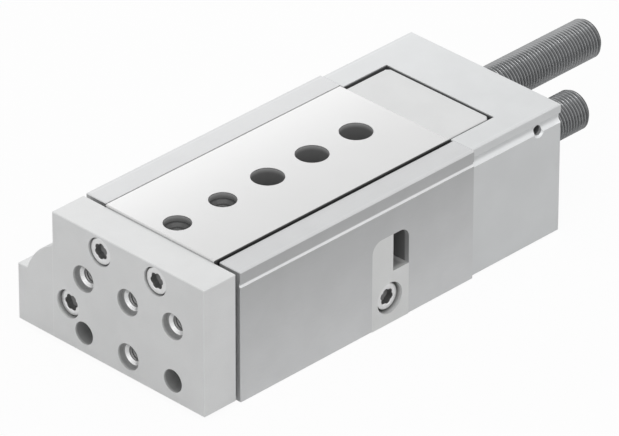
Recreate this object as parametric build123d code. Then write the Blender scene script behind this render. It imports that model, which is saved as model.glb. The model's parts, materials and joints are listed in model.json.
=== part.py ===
from build123d import *
import math
import os

# Pneumatic mini slide with ball cage guides and two shock absorbers.
# Millimetres. +X is the way the slide moves out, +Y the side with the stop window, +Z up.
# The origin is the middle fastening hole, on the mounting face under the housing.
# The side towards +Y is called near, the side towards -Y far.

# Travel
stroke = 30.0
absorber_travel = 8.0

# Clearances
seat_gap = 0.02
run_gap = 0.05
lip_gap = 0.03
side_gap = 0.55
floor_gap = 0.3
lane_gap = 0.4
end_gap = 0.9
yoke_gap = 1.1
overshoot = 1.0
edge_break = 0.2

# Fastening grid along the middle of the slide, counted from the front
hole_pitch = 15.0
first_hole = 4.9
centring_holes = 2
through_holes = 3

# Centred threads, as in the slide, the yoke and the mounting face
centring_radius = 3.5
centring_depth = 1.6
thread_core = 2.1
thread_mouth = 0.7
slide_thread_depth = 8.2

# Cap screws
screw_radius = 2.0
head_radius = 3.5
head_height = 4.0
head_gap = 0.25
head_sunk = 0.4
clamp_head_sunk = 0.9
rod_head_sunk = 1.0
socket_flats = 3.0
socket_depth = 2.0
short_screw = 16.0
middle_screw = 20.0
long_screw = 35.0
thread_spare = 0.4
access_play = 0.7
seat_play = 0.2
seat_height = 8.0

# Slide
slide_half = 18.45
slide_thickness = 10.0
slide_above = 0.6
slide_short = 1.0
slide_lip = 2.9
slide_waist = 1.25
slide_break = 0.25

# Housing
housing_length = 79.0
housing_height = 35.7
rail_wall = 6.9
groove_width = 1.3
groove_depth = 0.5
groove_drop = 3.55

# Cylinder, and the lobe of the housing and the yoke around it
bore_radius = 8.0
cylinder_inset = 5.5
cylinder_z = 12.25
lobe_radius = 17.0
lobe_centre_in = 2.05
lobe_centre_down = 1.35
lobe_reach = 17.2
lobe_rise = 4.2

# Ball guide
ball_radius = 1.5
ball_count = 5
track_rise = 4.1
cage_thickness = 1.1
cage_play = 0.15
cage_height = 4.4
cage_end = 2.2
cage_margin = 0.8
rail_depth = 3.0
rail_height = 5.0
rail_short = 0.5

# Yoke plate
yoke_thickness = 10.5
yoke_narrower = 0.4
yoke_bottom = 0.9
plain_radius = 3.0
grid_low = 6.5
yoke_screw_y = 9.35

# End block of the slide
end_length = 15.6
end_narrower = 1.35
end_lower = 0.4
end_corner = 1.0
end_screw_inset = 6.1
lug_length = 6.4
lug_wall = 0.75
lug_side_wall = 0.6
stop_lug_outer = 1.5
stop_lug_inner = 3.2
stop_lug_low = 1.7

# Rear block
rear_length = 31.1
rear_narrower = 0.7
rear_bottom = 0.2
rear_lower = 0.05
recess_gap = 0.4
wide_groove_width = 2.8
wide_groove_depth = 0.9
wide_groove_drop = 3.65
side_thread_radius = 1.3
side_thread_depth = 6.9
side_thread_back = 23.4
side_thread_drop = 4.5
side_thread_mouth = 0.5
rear_screw_inset = 4.0
rear_screw_low = 6.0
rear_screw_inner = 3.5

# Shock absorbers
absorber_drop = 6.2
absorber_radius = 5.35
absorber_break = 0.6
absorber_pass = 0.7
near_tail = 20.6
far_tail = 48.8
tip_radius = 2.2
tip_length = 3.0
plunger_radius = 1.5
plunger_length = 20.0
adjuster_flats = 4.0
adjuster_depth = 3.0
set_screw_length = 8.0
set_socket_flats = 2.0

# Lane of the moving absorber under the slide, and the window and the stop beside it
lane_spare = 0.5
lane_below = 0.4
window_width = 12.5
window_above = 4.3
window_corner = 3.0
window_gap = 0.6
stop_nose = 7.1
stop_step = 0.6
clamp_inset = 6.0
clamp_seat_radius = 4.2

# Piston, rod and the ends of the cylinder
rod_radius = 3.0
rod_stub = 2.0
piston_length = 14.0
rear_chamber = 5.0
ring_depth = 1.8
ring_length = 2.2
ring_inset = 2.2
magnet_length = 3.4
magnet_sunk = 0.1
bush_length = 11.6
circlip_inset = 1.2
circlip_thickness = 1.0
circlip_grip = 0.7
circlip_width = 2.4
circlip_mouth = 6.0
gland_radius = 5.0
gland_length = 3.0
plug_length = 8.0
oring_depth = 1.3
oring_length = 1.8

# Supply ports and sensor slot
port_height = 5.2
port_depth = 5.5
port_drill = 1.0
port_ahead = 4.2
sensor_mouth = 1.6
sensor_radius = 2.2
sensor_depth = 4.9

# Planes across X, from the front to the rear
front = first_hole + (centring_holes + 1) * hole_pitch
rear = front - housing_length
yoke_back = front + yoke_gap
yoke_front = yoke_back + yoke_thickness
slide_back = rear + slide_short
end_back = slide_back - end_length
recess_back = end_back - recess_gap
rear_face = rear - rear_length

# Levels, from the top down
slide_top = housing_height + slide_above
slide_bottom = slide_top - slide_thickness
slide_middle = (slide_top + slide_bottom) / 2
channel_floor = slide_bottom - floor_gap
end_top = housing_height - end_lower
rear_top = housing_height - rear_lower
guide_z = slide_bottom + track_rise
absorber_z = slide_bottom - absorber_drop

# Half widths, and the cylinder's place beside them
channel_half = slide_half + side_gap
housing_half = channel_half + rail_wall
yoke_half = housing_half - yoke_narrower
rear_half = housing_half - rear_narrower
end_half = slide_half - end_narrower
end_screw_y = end_half - end_screw_inset
absorber_y = end_half - absorber_radius - lug_wall
recess_half = end_half + end_gap
slide_side = slide_half - slide_waist
ball_y = (slide_side + channel_half) / 2
cylinder_y = cylinder_inset - housing_half
lobe_side = cylinder_y - lobe_reach
lobe_y = cylinder_y + lobe_centre_in
lobe_z = cylinder_z - lobe_centre_down

# Lane of the moving absorber, with the lug that carries it
lug_low = absorber_z - absorber_radius - lug_wall
lug_inner = absorber_y - absorber_radius - lug_side_wall
lane_floor = lug_low - lane_below
lane_inner = lug_inner - lane_gap
lane_outer = end_half + lane_spare

# Window and stop, where the absorber ends its travel
window_rear = end_back + lug_length + stroke + window_gap
window_front = window_rear + window_width
window_top = absorber_z + window_above
stop_face = window_front - stop_nose
foot_top = lane_floor + stop_step
near_front = stop_face - stroke - run_gap
far_front = end_back - run_gap

# Screw seats
rear_screw_seat = rear_face + head_height + head_sunk
end_screw_seat = end_back + head_height + head_sunk
yoke_screw_seat = yoke_front - head_height - head_sunk
rod_screw_seat = yoke_front - head_height - rod_head_sunk
clamp_screw_seat = housing_half - head_height - clamp_head_sunk

# Places in the cylinder
piston_back = rear + plug_length + rear_chamber
piston_front = piston_back + piston_length
circlip_front = front - circlip_inset
circlip_back = circlip_front - circlip_thickness
bush_front = circlip_back - run_gap
bush_back = bush_front - bush_length
gland = (bush_back, bush_back + gland_length)
bush_groove = (bush_front - 2 * oring_length, bush_front - oring_length)
plug_middle = rear + plug_length / 2
plug_groove = (plug_middle - oring_length / 2, plug_middle + oring_length / 2)
front_port_x = bush_back - port_ahead
rear_port_x = rear + plug_length + rear_chamber / 2

# Balls along their cage
cage_front = front - stroke / 2 - cage_margin
cage_back = slide_back + stroke / 2 + cage_margin
ball_pitch = (cage_front - cage_back - 2 * cage_end) / (ball_count - 1)
ball_places = [cage_back + cage_end + index * ball_pitch for index in range(ball_count)]


def block(x_range, y_range, z_range):
    """Box between two planes along each axis."""
    spans = [sorted(span) for span in (x_range, y_range, z_range)]
    size = [high - low for low, high in spans]
    centre = [(high + low) / 2 for low, high in spans]
    return Pos(*centre) * Box(*size)


def bar_x(radius, x_range, y, z):
    """Round bar along X."""
    low, high = x_range
    return Pos((low + high) / 2, y, z) * Rot(0, 90, 0) * Cylinder(radius, high - low)


def bar_y(radius, x, y_range, z):
    """Round bar along Y."""
    low, high = sorted(y_range)
    return Pos(x, (low + high) / 2, z) * Rot(90, 0, 0) * Cylinder(radius, high - low)


def bar_z(radius, x, y, z_range):
    """Round bar along Z."""
    low, high = z_range
    return Pos(x, y, (low + high) / 2) * Cylinder(radius, high - low)


def facing(direction, point):
    """Place for a screw or a hole whose mouth faces the given way."""
    return Plane(origin=point, z_dir=direction).location


def hex_bar(flats, depth):
    """Hexagonal bar below the plane z = 0, for a key socket."""
    return extrude(RegularPolygon(flats / 2, 6, major_radius=False), -depth)


def cap_screw(length):
    """Cap screw that points along -Z and seats under its head on z = 0."""
    head = Pos(0, 0, head_height / 2) * Cylinder(head_radius, head_height)
    head = chamfer(head.edges().group_by(Axis.Z)[-1], edge_break)
    socket = Pos(0, 0, head_height) * hex_bar(socket_flats, socket_depth)
    shank = Pos(0, 0, -length / 2) * Cylinder(screw_radius, length)
    return head + shank - socket


def screw_passage(depth):
    """Room for a cap screw in the piece under its head: the seat and the clearance hole."""
    seat = Pos(0, 0, head_height) * Cylinder(head_radius + head_gap, 2 * head_height)
    return seat + Pos(0, 0, -depth / 2) * Cylinder(screw_radius + head_gap, depth)


def tapped_hole(length):
    """Thread that a cap screw of this length fills, in the piece that it holds."""
    depth = length + thread_spare
    return Pos(0, 0, -depth / 2) * Cylinder(screw_radius + seat_gap, depth)


def centred_thread(depth):
    """Step for a centring sleeve, countersink and core hole, below the plane z = 0."""
    step = Pos(0, 0, -centring_depth / 2) * Cylinder(centring_radius, centring_depth)
    mouth = Cone(thread_core, thread_core + thread_mouth, thread_mouth)
    mouth = Pos(0, 0, -centring_depth - thread_mouth / 2) * mouth
    return step + mouth + Pos(0, 0, -depth / 2) * Cylinder(thread_core, depth)


def lobed_section(half, bottom):
    """Cross-section shared by the housing and the yoke, with the lobe around the cylinder."""
    side_offset = half + lobe_y
    arc_high = (-half, lobe_z + math.sqrt(lobe_radius**2 - side_offset**2))
    ledge = cylinder_z + lobe_rise
    arc_low = (lobe_y - math.sqrt(lobe_radius**2 - (ledge - lobe_z) ** 2), ledge)
    start = math.atan2(arc_high[1] - lobe_z, arc_high[0] - lobe_y)
    end = math.atan2(arc_low[1] - lobe_z, arc_low[0] - lobe_y)
    turn = (start + end) / 2
    arc_middle = (lobe_y + lobe_radius * math.cos(turn), lobe_z + lobe_radius * math.sin(turn))
    with BuildSketch(Plane.YZ) as section:
        with BuildLine():
            Polyline(arc_high, (-half, housing_height), (half, housing_height), (half, bottom))
            Polyline((half, bottom), (lobe_side, bottom), (lobe_side, ledge), arc_low)
            ThreePointArc(arc_low, arc_middle, arc_high)
        make_face()
    return section.sketch


def lobed_bar(x_range, half, bottom):
    """Bar of the shared cross-section, with its edges broken."""
    low, high = x_range
    bar = Pos(low, 0, 0) * extrude(lobed_section(half, bottom), high - low)
    return chamfer(bar.edges(), edge_break)


def window_shape(y_range, gap):
    """Upright pocket with rounded upper corners, open at the mounting face."""
    shape = block((window_rear + gap, window_front - gap), y_range, (0, window_top))
    upper = shape.edges().filter_by(Axis.Y).group_by(Axis.Z)[-1]
    return fillet(upper, window_corner)


def side_grooves(x_range, half, width, depth, z):
    """Round-bottomed grooves along both sides."""
    radius = (width**2 / 4 + depth**2) / (2 * depth)
    centre = half - depth + radius
    return bar_x(radius, x_range, centre, z) + bar_x(radius, x_range, -centre, z)


def grid_x(index):
    """Place of a hole on the middle line, counted from the front."""
    return front - first_hole - index * hole_pitch


def fastening_holes():
    """Screw seats that the access holes in the slide lead to, threaded and centred from below."""
    cuts = Part()
    for index in range(centring_holes, centring_holes + through_holes):
        x = grid_x(index)
        cuts += bar_z(head_radius + seat_play, x, 0, (seat_height, slide_bottom))
        cuts += facing((0, 0, -1), (x, 0, 0)) * centred_thread(seat_height + overshoot)
    return cuts


def port(x):
    """Threaded supply port in the lobe, drilled through to the bore."""
    mouth = bar_y(thread_core, x, (lobe_side - overshoot, lobe_side + port_depth), port_height)
    return mouth + bar_y(port_drill, x, (lobe_side, cylinder_y), port_height)


def sensor_slot(x_range):
    """Slot for a proximity sensor, narrower at its mouth than inside."""
    centre = lobe_side + sensor_depth - sensor_radius
    mouth = (cylinder_z - sensor_mouth, cylinder_z + sensor_mouth)
    slot = bar_x(sensor_radius, x_range, centre, cylinder_z)
    return slot + block(x_range, (lobe_side - overshoot, centre), mouth)


def rail_bar(side, gap, x_range):
    """Bar of the guide rail's outline, grown by a gap where it is the room for it."""
    sides = (side * (channel_half - gap), side * (channel_half + rail_depth + gap))
    half_height = rail_height / 2 + gap
    return block(x_range, sides, (guide_z - half_height, guide_z + half_height))


def ball_track(side, x_range):
    """Round groove that the balls run in."""
    return bar_x(ball_radius + run_gap, x_range, side * ball_y, guide_z)


def lane(side, x_range):
    """Room for an absorber and its lug under the slide."""
    return block(x_range, (side * lane_inner, side * lane_outer), (lane_floor, slide_bottom))


def stop_lug(x_range, gap):
    """Low lug behind the slide that meets the fixed absorber, or with a gap the room for it."""
    sides = (-absorber_y - stop_lug_outer - gap, -absorber_y + stop_lug_inner + gap)
    return block(x_range, sides, (absorber_z - stop_lug_low - gap, slide_bottom + edge_break))


def rear_screws(shape):
    """Copy of a shape at each screw of the rear block."""
    outer = rear_half - rear_screw_inset
    rail_bottom = guide_z - rail_height / 2
    high = (rail_bottom + cylinder_z + bore_radius) / 2
    places = [(outer, high), (-outer, high), (outer, rear_screw_low), (-rear_screw_inner, rear_screw_low)]
    return [facing((-1, 0, 0), (rear_screw_seat, y, z)) * shape for y, z in places]


def end_screws(shape):
    """Copy of a shape at each screw of the slide's end block."""
    z = (slide_bottom + end_top) / 2
    return [facing((-1, 0, 0), (end_screw_seat, y, z)) * shape for y in (end_screw_y, -end_screw_y)]


def yoke_screws(shape):
    """Copy of a shape at each of the yoke's two screws into the slide."""
    sides = (yoke_screw_y, -yoke_screw_y)
    return [facing((1, 0, 0), (yoke_screw_seat, y, slide_middle)) * shape for y in sides]


def rod_screw(shape):
    """Copy of a shape at the screw that holds the piston rod."""
    return facing((1, 0, 0), (rod_screw_seat, cylinder_y, cylinder_z)) * shape


def clamp_screw(shape):
    """Copy of a shape at the screw that clamps the stop."""
    return facing((0, 1, 0), (window_front - clamp_inset, clamp_screw_seat, foot_top / 2)) * shape


def make_housing():
    through = (rear - overshoot, front + overshoot)
    body = lobed_bar((rear, front), housing_half, 0)
    body -= block(through, (-channel_half, channel_half), (channel_floor, slide_top))
    body -= rail_bar(1, seat_gap, through) + rail_bar(-1, seat_gap, through)
    body -= side_grooves(through, housing_half, groove_width, groove_depth, housing_height - groove_drop)
    body -= bar_x(bore_radius, through, cylinder_y, cylinder_z)
    clip_groove = (circlip_back - seat_gap, circlip_front + seat_gap)
    body -= bar_x(bore_radius + circlip_grip, clip_groove, cylinder_y, cylinder_z)
    body -= port(front_port_x) + port(rear_port_x)
    body -= sensor_slot(through)
    body -= fastening_holes()
    body -= lane(1, (rear - overshoot, window_front))
    body -= stop_lug((rear - overshoot, end_back + lug_length + stroke + window_gap), lane_gap)
    body -= window_shape((lane_outer, housing_half + overshoot), 0)
    body -= clamp_screw(tapped_hole(short_screw))
    for cut in rear_screws(tapped_hole(long_screw)):
        body -= cut
    return body


def make_rail(side):
    """Hardened strip let into the channel's wall, with the outer ball track."""
    strip = rail_bar(side, 0, (rear + rail_short, front - rail_short))
    return strip - ball_track(side, (rear, front))


def make_cage(side):
    """Strip that spaces the balls."""
    inner = side * (ball_y - cage_thickness / 2)
    outer = side * (ball_y + cage_thickness / 2)
    heights = (guide_z - cage_height / 2, guide_z + cage_height / 2)
    strip = block((cage_back, cage_front), (inner, outer), heights)
    for x in ball_places:
        strip -= bar_y(ball_radius + cage_play, x, (inner, outer), guide_z)
    return strip


def make_balls(side):
    return Compound([Pos(x, side * ball_y, guide_z) * Sphere(ball_radius) for x in ball_places])


def make_slide():
    """Ground steel slide: wide lip above, waist with the inner ball tracks below."""
    span = (slide_back, yoke_back)
    through = (slide_back - overshoot, yoke_back + overshoot)
    lip_bottom = slide_top - slide_lip
    lip = block(span, (-slide_half, slide_half), (lip_bottom, slide_top))
    lip = chamfer(lip.edges().group_by(Axis.Z)[-1], slide_break)
    body = lip + block(span, (-slide_side, slide_side), (slide_bottom, lip_bottom))
    body -= ball_track(1, through) + ball_track(-1, through)
    for index in range(centring_holes):
        body -= facing((0, 0, 1), (grid_x(index), 0, slide_top)) * centred_thread(slide_thread_depth)
    for index in range(centring_holes, centring_holes + through_holes):
        heights = (slide_bottom - overshoot, slide_top + overshoot)
        body -= bar_z(head_radius + access_play, grid_x(index), 0, heights)
    for cut in yoke_screws(tapped_hole(short_screw)) + end_screws(tapped_hole(middle_screw)):
        body -= cut
    return body


def make_end_block():
    """Block behind the slide: it carries one absorber and meets the other."""
    body = block((end_back, slide_back), (-end_half, end_half), (slide_bottom, end_top))
    corners = body.edges().filter_by(Axis.Z).group_by(Axis.X)[0]
    body = chamfer(corners, end_corner)
    body = chamfer(body.edges().group_by(Axis.Z)[-1], edge_break)
    lug_span = (end_back, end_back + lug_length)
    lug = block(lug_span, (lug_inner, end_half), (lug_low, slide_bottom + edge_break))
    rear_edges = lug.edges().filter_by(Axis.Z).group_by(Axis.X)[0]
    body += chamfer(rear_edges.sort_by(Axis.Y)[-1], end_corner)
    body += stop_lug(lug_span, 0)
    body -= bar_x(absorber_radius + seat_gap, lug_span, absorber_y, absorber_z)
    for cut in end_screws(screw_passage(end_length)):
        body -= cut
    return body


def make_yoke():
    """Plate across the front: it ties the slide to the piston rod and carries the load."""
    body = lobed_bar((yoke_back, yoke_front), yoke_half, yoke_bottom)
    through = (yoke_back - overshoot, yoke_front + overshoot)
    grid_high = grid_low + hole_pitch
    for y, z in ((-hole_pitch, grid_high), (0, grid_high), (hole_pitch, grid_high), (0, grid_low)):
        body -= facing((1, 0, 0), (yoke_front, y, z)) * centred_thread(yoke_thickness + overshoot)
    for y in (hole_pitch, -hole_pitch):
        body -= bar_x(plain_radius, through, y, grid_low)
    for cut in yoke_screws(screw_passage(yoke_thickness)):
        body -= cut
    return body - rod_screw(screw_passage(yoke_thickness))


def side_thread():
    """Small countersunk thread on the lower edge of the rear block's groove."""
    x = rear - side_thread_back
    z = rear_top - side_thread_drop
    mouth = Cone(side_thread_radius, side_thread_radius + side_thread_mouth, side_thread_mouth)
    core = bar_y(side_thread_radius, x, (rear_half - side_thread_depth, rear_half + overshoot), z)
    return core + facing((0, 1, 0), (x, rear_half - side_thread_mouth / 2, z)) * mouth


def make_rear_block():
    """Block behind the housing, hollowed for the slide's end block and for both absorbers."""
    open_front = (recess_back, rear + overshoot)
    through = (rear_face - overshoot, rear + overshoot)
    body = block((rear_face, rear), (-rear_half, rear_half), (rear_bottom, rear_top))
    body = chamfer(body.edges(), edge_break)
    body -= block(open_front, (-recess_half, recess_half), (channel_floor, slide_top))
    body -= lane(1, open_front) + lane(-1, open_front)
    groove_z = rear_top - wide_groove_drop
    body -= side_grooves(through, rear_half, wide_groove_width, wide_groove_depth, groove_z)
    body -= bar_x(absorber_radius + absorber_pass, through, absorber_y, absorber_z)
    body -= bar_x(absorber_radius + seat_gap, through, -absorber_y, absorber_z)
    body -= side_thread()
    body -= bar_z(screw_radius + seat_gap, set_screw_x, -absorber_y, (rear_bottom - overshoot, absorber_z))
    for cut in rear_screws(screw_passage(rear_length)):
        body -= cut
    return body


def make_set_screw():
    """Headless screw under the fixed absorber."""
    top = absorber_z - absorber_radius - seat_gap
    low = top - set_screw_length
    body = bar_z(screw_radius, set_screw_x, -absorber_y, (low, top))
    socket = hex_bar(set_socket_flats, socket_depth)
    return body - facing((0, 0, -1), (set_screw_x, -absorber_y, low)) * socket


def make_absorber(nose, tail, side):
    """Threaded absorber body with the bore for its plunger and a key socket behind."""
    y = side * absorber_y
    body = bar_x(absorber_radius, (tail, nose), y, absorber_z)
    body = chamfer(body.edges().group_by(Axis.X)[0], absorber_break)
    body -= bar_x(tip_radius + run_gap, (nose - tip_length - run_gap, nose + overshoot), y, absorber_z)
    depth = tip_length + plunger_length + run_gap
    body -= bar_x(plunger_radius + run_gap, (nose - depth, nose), y, absorber_z)
    return body - facing((-1, 0, 0), (tail, y, absorber_z)) * hex_bar(adjuster_flats, adjuster_depth)


def make_plunger(tip_front, side):
    back = tip_front - tip_length
    return bar_x(plunger_radius, (back - plunger_length, back), side * absorber_y, absorber_z)


def make_tip(tip_front, side):
    tip = bar_x(tip_radius, (tip_front - tip_length, tip_front), side * absorber_y, absorber_z)
    return chamfer(tip.edges().group_by(Axis.X)[-1], edge_break)


def make_stop():
    """Insert in the side window: its nose stops the moving absorber."""
    body = window_shape((lane_outer, housing_half), seat_gap)
    opening = (foot_top, window_top + overshoot)
    body -= block((window_rear, stop_face), (lane_outer, housing_half), opening)
    nose_sides = (lane_inner + lane_gap, lane_outer)
    body += block((stop_face, window_front - seat_gap), nose_sides, (lane_floor + seat_gap, window_top))
    seat = facing((0, 1, 0), (window_front - clamp_inset, clamp_screw_seat, foot_top / 2))
    body -= seat * Pos(0, 0, head_height) * Cylinder(clamp_seat_radius, 2 * head_height)
    return body - clamp_screw(screw_passage(clamp_screw_seat - lane_outer + overshoot))


def ring(outer, inner, x_range):
    """Plain ring on the cylinder's axis."""
    body = bar_x(outer, x_range, cylinder_y, cylinder_z)
    return body - bar_x(inner, x_range, cylinder_y, cylinder_z)


def make_rod():
    """Piston rod with the stub that carries the piston and a thread in its front end."""
    rod = bar_x(rod_radius, (piston_front, yoke_back), cylinder_y, cylinder_z)
    rod += bar_x(rod_stub, (piston_back, piston_front), cylinder_y, cylinder_z)
    return rod - rod_screw(tapped_hole(short_screw))


def piston_grooves():
    """Spans along X of the two seals and, last, of the magnet between them."""
    middle = (piston_back + piston_front) / 2
    rear_ring = (piston_back + ring_inset, piston_back + ring_inset + ring_length)
    front_ring = (piston_front - ring_inset - ring_length, piston_front - ring_inset)
    return [rear_ring, front_ring, (middle - magnet_length / 2, middle + magnet_length / 2)]


def make_piston():
    body = ring(bore_radius - run_gap, rod_stub + seat_gap, (piston_back, piston_front))
    for span in piston_grooves():
        body -= ring(bore_radius, bore_radius - run_gap - ring_depth, span)
    return body


def piston_ring(span, outer):
    """Ring that sits in a groove of the piston."""
    inner = bore_radius - run_gap - ring_depth + seat_gap
    return ring(outer, inner, (span[0] + seat_gap, span[1] - seat_gap))


def static_ring(groove):
    """Seal around a piece that is seated in the bore."""
    span = (groove[0] + seat_gap, groove[1] - seat_gap)
    return ring(bore_radius - seat_gap, bore_radius - oring_depth + seat_gap, span)


def make_bush():
    """Guide bush of the piston rod, with grooves for its two seals."""
    body = ring(bore_radius - seat_gap, rod_radius + run_gap, (bush_back, bush_front))
    body -= bar_x(gland_radius, gland, cylinder_y, cylinder_z)
    return body - ring(bore_radius, bore_radius - oring_depth, bush_groove)


def make_plug():
    body = bar_x(bore_radius - seat_gap, (rear, rear + plug_length), cylinder_y, cylinder_z)
    return body - ring(bore_radius, bore_radius - oring_depth, plug_groove)


def make_circlip():
    """Retaining ring in front of the bush, open below."""
    outer = bore_radius + circlip_grip - seat_gap
    body = ring(outer, outer - circlip_width, (circlip_back, circlip_front))
    mouth = (cylinder_y - circlip_mouth / 2, cylinder_y + circlip_mouth / 2)
    return body - block((circlip_back, circlip_front), mouth, (cylinder_z - outer, cylinder_z))


set_screw_x = (recess_back + rear_face) / 2
rear_seal, front_seal, magnet_span = piston_grooves()
seal_radius = bore_radius - lip_gap
near_tip_front = near_front + absorber_travel

parts = {
    "housing": make_housing(),
    "rear_block": make_rear_block(),
    "rear_block_screws": Compound(rear_screws(cap_screw(long_screw))),
    "slide": make_slide(),
    "slide_end_block": make_end_block(),
    "end_block_screws": Compound(end_screws(cap_screw(middle_screw))),
    "yoke_plate": make_yoke(),
    "yoke_screws": Compound(yoke_screws(cap_screw(short_screw))),
    "rod_screw": rod_screw(cap_screw(short_screw)),
    "stop_insert": make_stop(),
    "stop_clamp_screw": clamp_screw(cap_screw(short_screw)),
    "piston_rod": make_rod(),
    "piston": make_piston(),
    "piston_seals": Compound([piston_ring(span, seal_radius) for span in (rear_seal, front_seal)]),
    "piston_magnet": piston_ring(magnet_span, bore_radius - magnet_sunk),
    "rod_bush": make_bush(),
    "rod_seal": ring(gland_radius - seat_gap, rod_radius + lip_gap, gland),
    "bush_seal": static_ring(bush_groove),
    "retaining_ring": make_circlip(),
    "cylinder_plug": make_plug(),
    "plug_seal": static_ring(plug_groove),
    "near_absorber_body": make_absorber(near_front, rear_face - near_tail, 1),
    "near_absorber_plunger": make_plunger(near_tip_front, 1),
    "near_absorber_tip": make_tip(near_tip_front, 1),
    "far_absorber_body": make_absorber(far_front, rear_face - far_tail, -1),
    "far_absorber_plunger": make_plunger(far_front, -1),
    "far_absorber_tip": make_tip(far_front, -1),
    "absorber_set_screw": make_set_screw(),
}
for name, side in (("near", 1), ("far", -1)):
    parts[f"{name}_guide_rail"] = make_rail(side)
    parts[f"{name}_ball_cage"] = make_cage(side)
    parts[f"{name}_balls"] = make_balls(side)

os.makedirs("parts", exist_ok=True)
for node, shape in parts.items():
    export_step(shape, f"parts/{node}.step")
    print(node, round(shape.volume, 1))
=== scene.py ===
# %% [markdown]
# A pneumatic mini slide: a ground steel slide runs out of an anodised aluminium housing,
# pushed by a piston beside it and stopped by two threaded shock absorbers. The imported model
# gives every solid at its real size, in metres. This lesson dresses it: finishes for the
# metals, rolled threads, key sockets, a camera at the photograph's angle and a pale studio.

# %% Load the frame
import json
import math

import bmesh
import bpy
from mathutils import Matrix, Vector


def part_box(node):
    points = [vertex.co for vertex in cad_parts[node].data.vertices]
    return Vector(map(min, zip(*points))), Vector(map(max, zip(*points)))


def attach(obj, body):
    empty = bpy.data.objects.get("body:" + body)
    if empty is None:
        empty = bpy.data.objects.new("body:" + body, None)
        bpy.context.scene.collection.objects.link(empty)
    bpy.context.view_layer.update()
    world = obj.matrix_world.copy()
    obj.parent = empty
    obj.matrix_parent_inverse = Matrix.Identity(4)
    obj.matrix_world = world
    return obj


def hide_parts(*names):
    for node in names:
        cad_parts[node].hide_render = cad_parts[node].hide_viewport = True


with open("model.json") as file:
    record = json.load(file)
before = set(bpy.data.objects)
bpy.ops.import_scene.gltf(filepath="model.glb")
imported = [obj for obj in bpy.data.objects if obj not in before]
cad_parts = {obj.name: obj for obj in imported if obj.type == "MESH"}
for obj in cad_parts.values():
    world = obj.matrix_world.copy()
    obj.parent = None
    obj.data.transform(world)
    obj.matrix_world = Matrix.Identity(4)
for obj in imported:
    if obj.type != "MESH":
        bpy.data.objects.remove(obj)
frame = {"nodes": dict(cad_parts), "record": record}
nodes = frame["nodes"]
mounts = {mount["name"]: mount for mount in frame["record"]["mounts"]}
slots = {part["node"]: part["material_slot"] for part in frame["record"]["subparts"]}
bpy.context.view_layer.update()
mm = 0.001

# %% [markdown]
# The camera stands far off with a long lens, because the photograph's parallel edges hardly
# meet. It could be given as a matrix, but an angle, a height and an aim point say what a
# photographer would do, so the camera is turned by those and then moved back along its view.

# %% Camera
azimuth = math.radians(134.587)
elevation = math.radians(30.977)
roll = math.radians(0.12)
aim = Vector((-5.39, -6.12, 13.58)) * mm
distance = 1752.3 * mm
lens = 422.73

camera = bpy.data.objects.new("camera", bpy.data.cameras.new("camera"))
bpy.context.collection.objects.link(camera)
bpy.context.scene.camera = camera
camera.data.lens = lens
camera.data.sensor_width = 36.0
camera.data.sensor_fit = "HORIZONTAL"
camera.data.clip_start = 0.05
camera.data.clip_end = 20.0
turn = Matrix.Rotation(azimuth, 4, "Z") @ Matrix.Rotation(math.pi / 2 - elevation, 4, "X")
turn = turn @ Matrix.Rotation(roll, 4, "Z")
camera.matrix_world = Matrix.Translation(aim) @ turn @ Matrix.Translation((0, 0, distance))
print("camera at", [round(value, 3) for value in camera.matrix_world.translation])

# %% [markdown]
# Every tree below, for shading or for geometry, is made of nodes with settings and inputs.
# One helper adds a node and links or fills its inputs, so that a tree reads like a recipe.
# The short ones after it name the steps that come back in most trees.

# %% A helper that adds one node
def add(tree, kind, inputs=None, **settings):
    """Adds a node. An input that is given a socket is linked, and any other is filled in."""
    made = tree.nodes.new(kind)
    for name, value in settings.items():
        setattr(made, name, value)
    for key, value in (inputs or {}).items():
        if isinstance(value, bpy.types.NodeSocket):
            tree.links.new(value, made.inputs[key])
        else:
            made.inputs[key].default_value = value
    return made


# %% Steps with numbers
def calculate(tree, operation, *values):
    """Result of one step of arithmetic."""
    return add(tree, "ShaderNodeMath", dict(enumerate(values)), operation=operation).outputs[0]


def fold(tree, operation, values):
    """Result of one operation over three numbers."""
    return calculate(tree, operation, calculate(tree, operation, *values[:2]), values[2])


def ramp(tree, value, start, end, low=0.0, high=1.0, shape="LINEAR"):
    """Number that goes from low to high while a value goes from start to end."""
    return add(tree, "ShaderNodeMapRange",
               {"Value": value, "From Min": start, "From Max": end, "To Min": low, "To Max": high},
               interpolation_type=shape).outputs[0]


def mix(tree, factor, first, second):
    """Number between two numbers."""
    return add(tree, "ShaderNodeMix", {"Factor": factor, "A": first, "B": second}).outputs[0]


# %% Steps with vectors and colours
def combine(tree, operation, *vectors):
    """Result of one step of vector arithmetic."""
    made = add(tree, "ShaderNodeVectorMath", dict(enumerate(vectors)), operation=operation)
    return made.outputs[0]


def axes_of(tree, vector):
    """X, Y and Z of a vector."""
    return add(tree, "ShaderNodeSeparateXYZ", {0: vector}).outputs


def shade(tree, colour, level):
    """Colour made darker or lighter by a level."""
    return add(tree, "ShaderNodeVectorMath", {0: colour, 3: level}, operation="SCALE").outputs[0]


def mix_colours(tree, factor, first, second):
    """Colour between two colours."""
    made = add(tree, "ShaderNodeMix", {0: factor, 6: first, 7: second}, data_type="RGBA")
    return made.outputs[2]


# %% An empty group with named sockets
def start_group(name, kind, inputs, outputs):
    """Node group with its sockets, and what its input node gives and its output node takes."""
    tree = bpy.data.node_groups.new(name, kind)
    for label, socket_type, value in inputs:
        socket = tree.interface.new_socket(label, in_out="INPUT", socket_type=socket_type)
        if value is not None:
            socket.default_value = value
    for label, socket_type in outputs:
        tree.interface.new_socket(label, in_out="OUTPUT", socket_type=socket_type)
    return tree, tree.nodes.new("NodeGroupInput").outputs, tree.nodes.new("NodeGroupOutput").inputs


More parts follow.
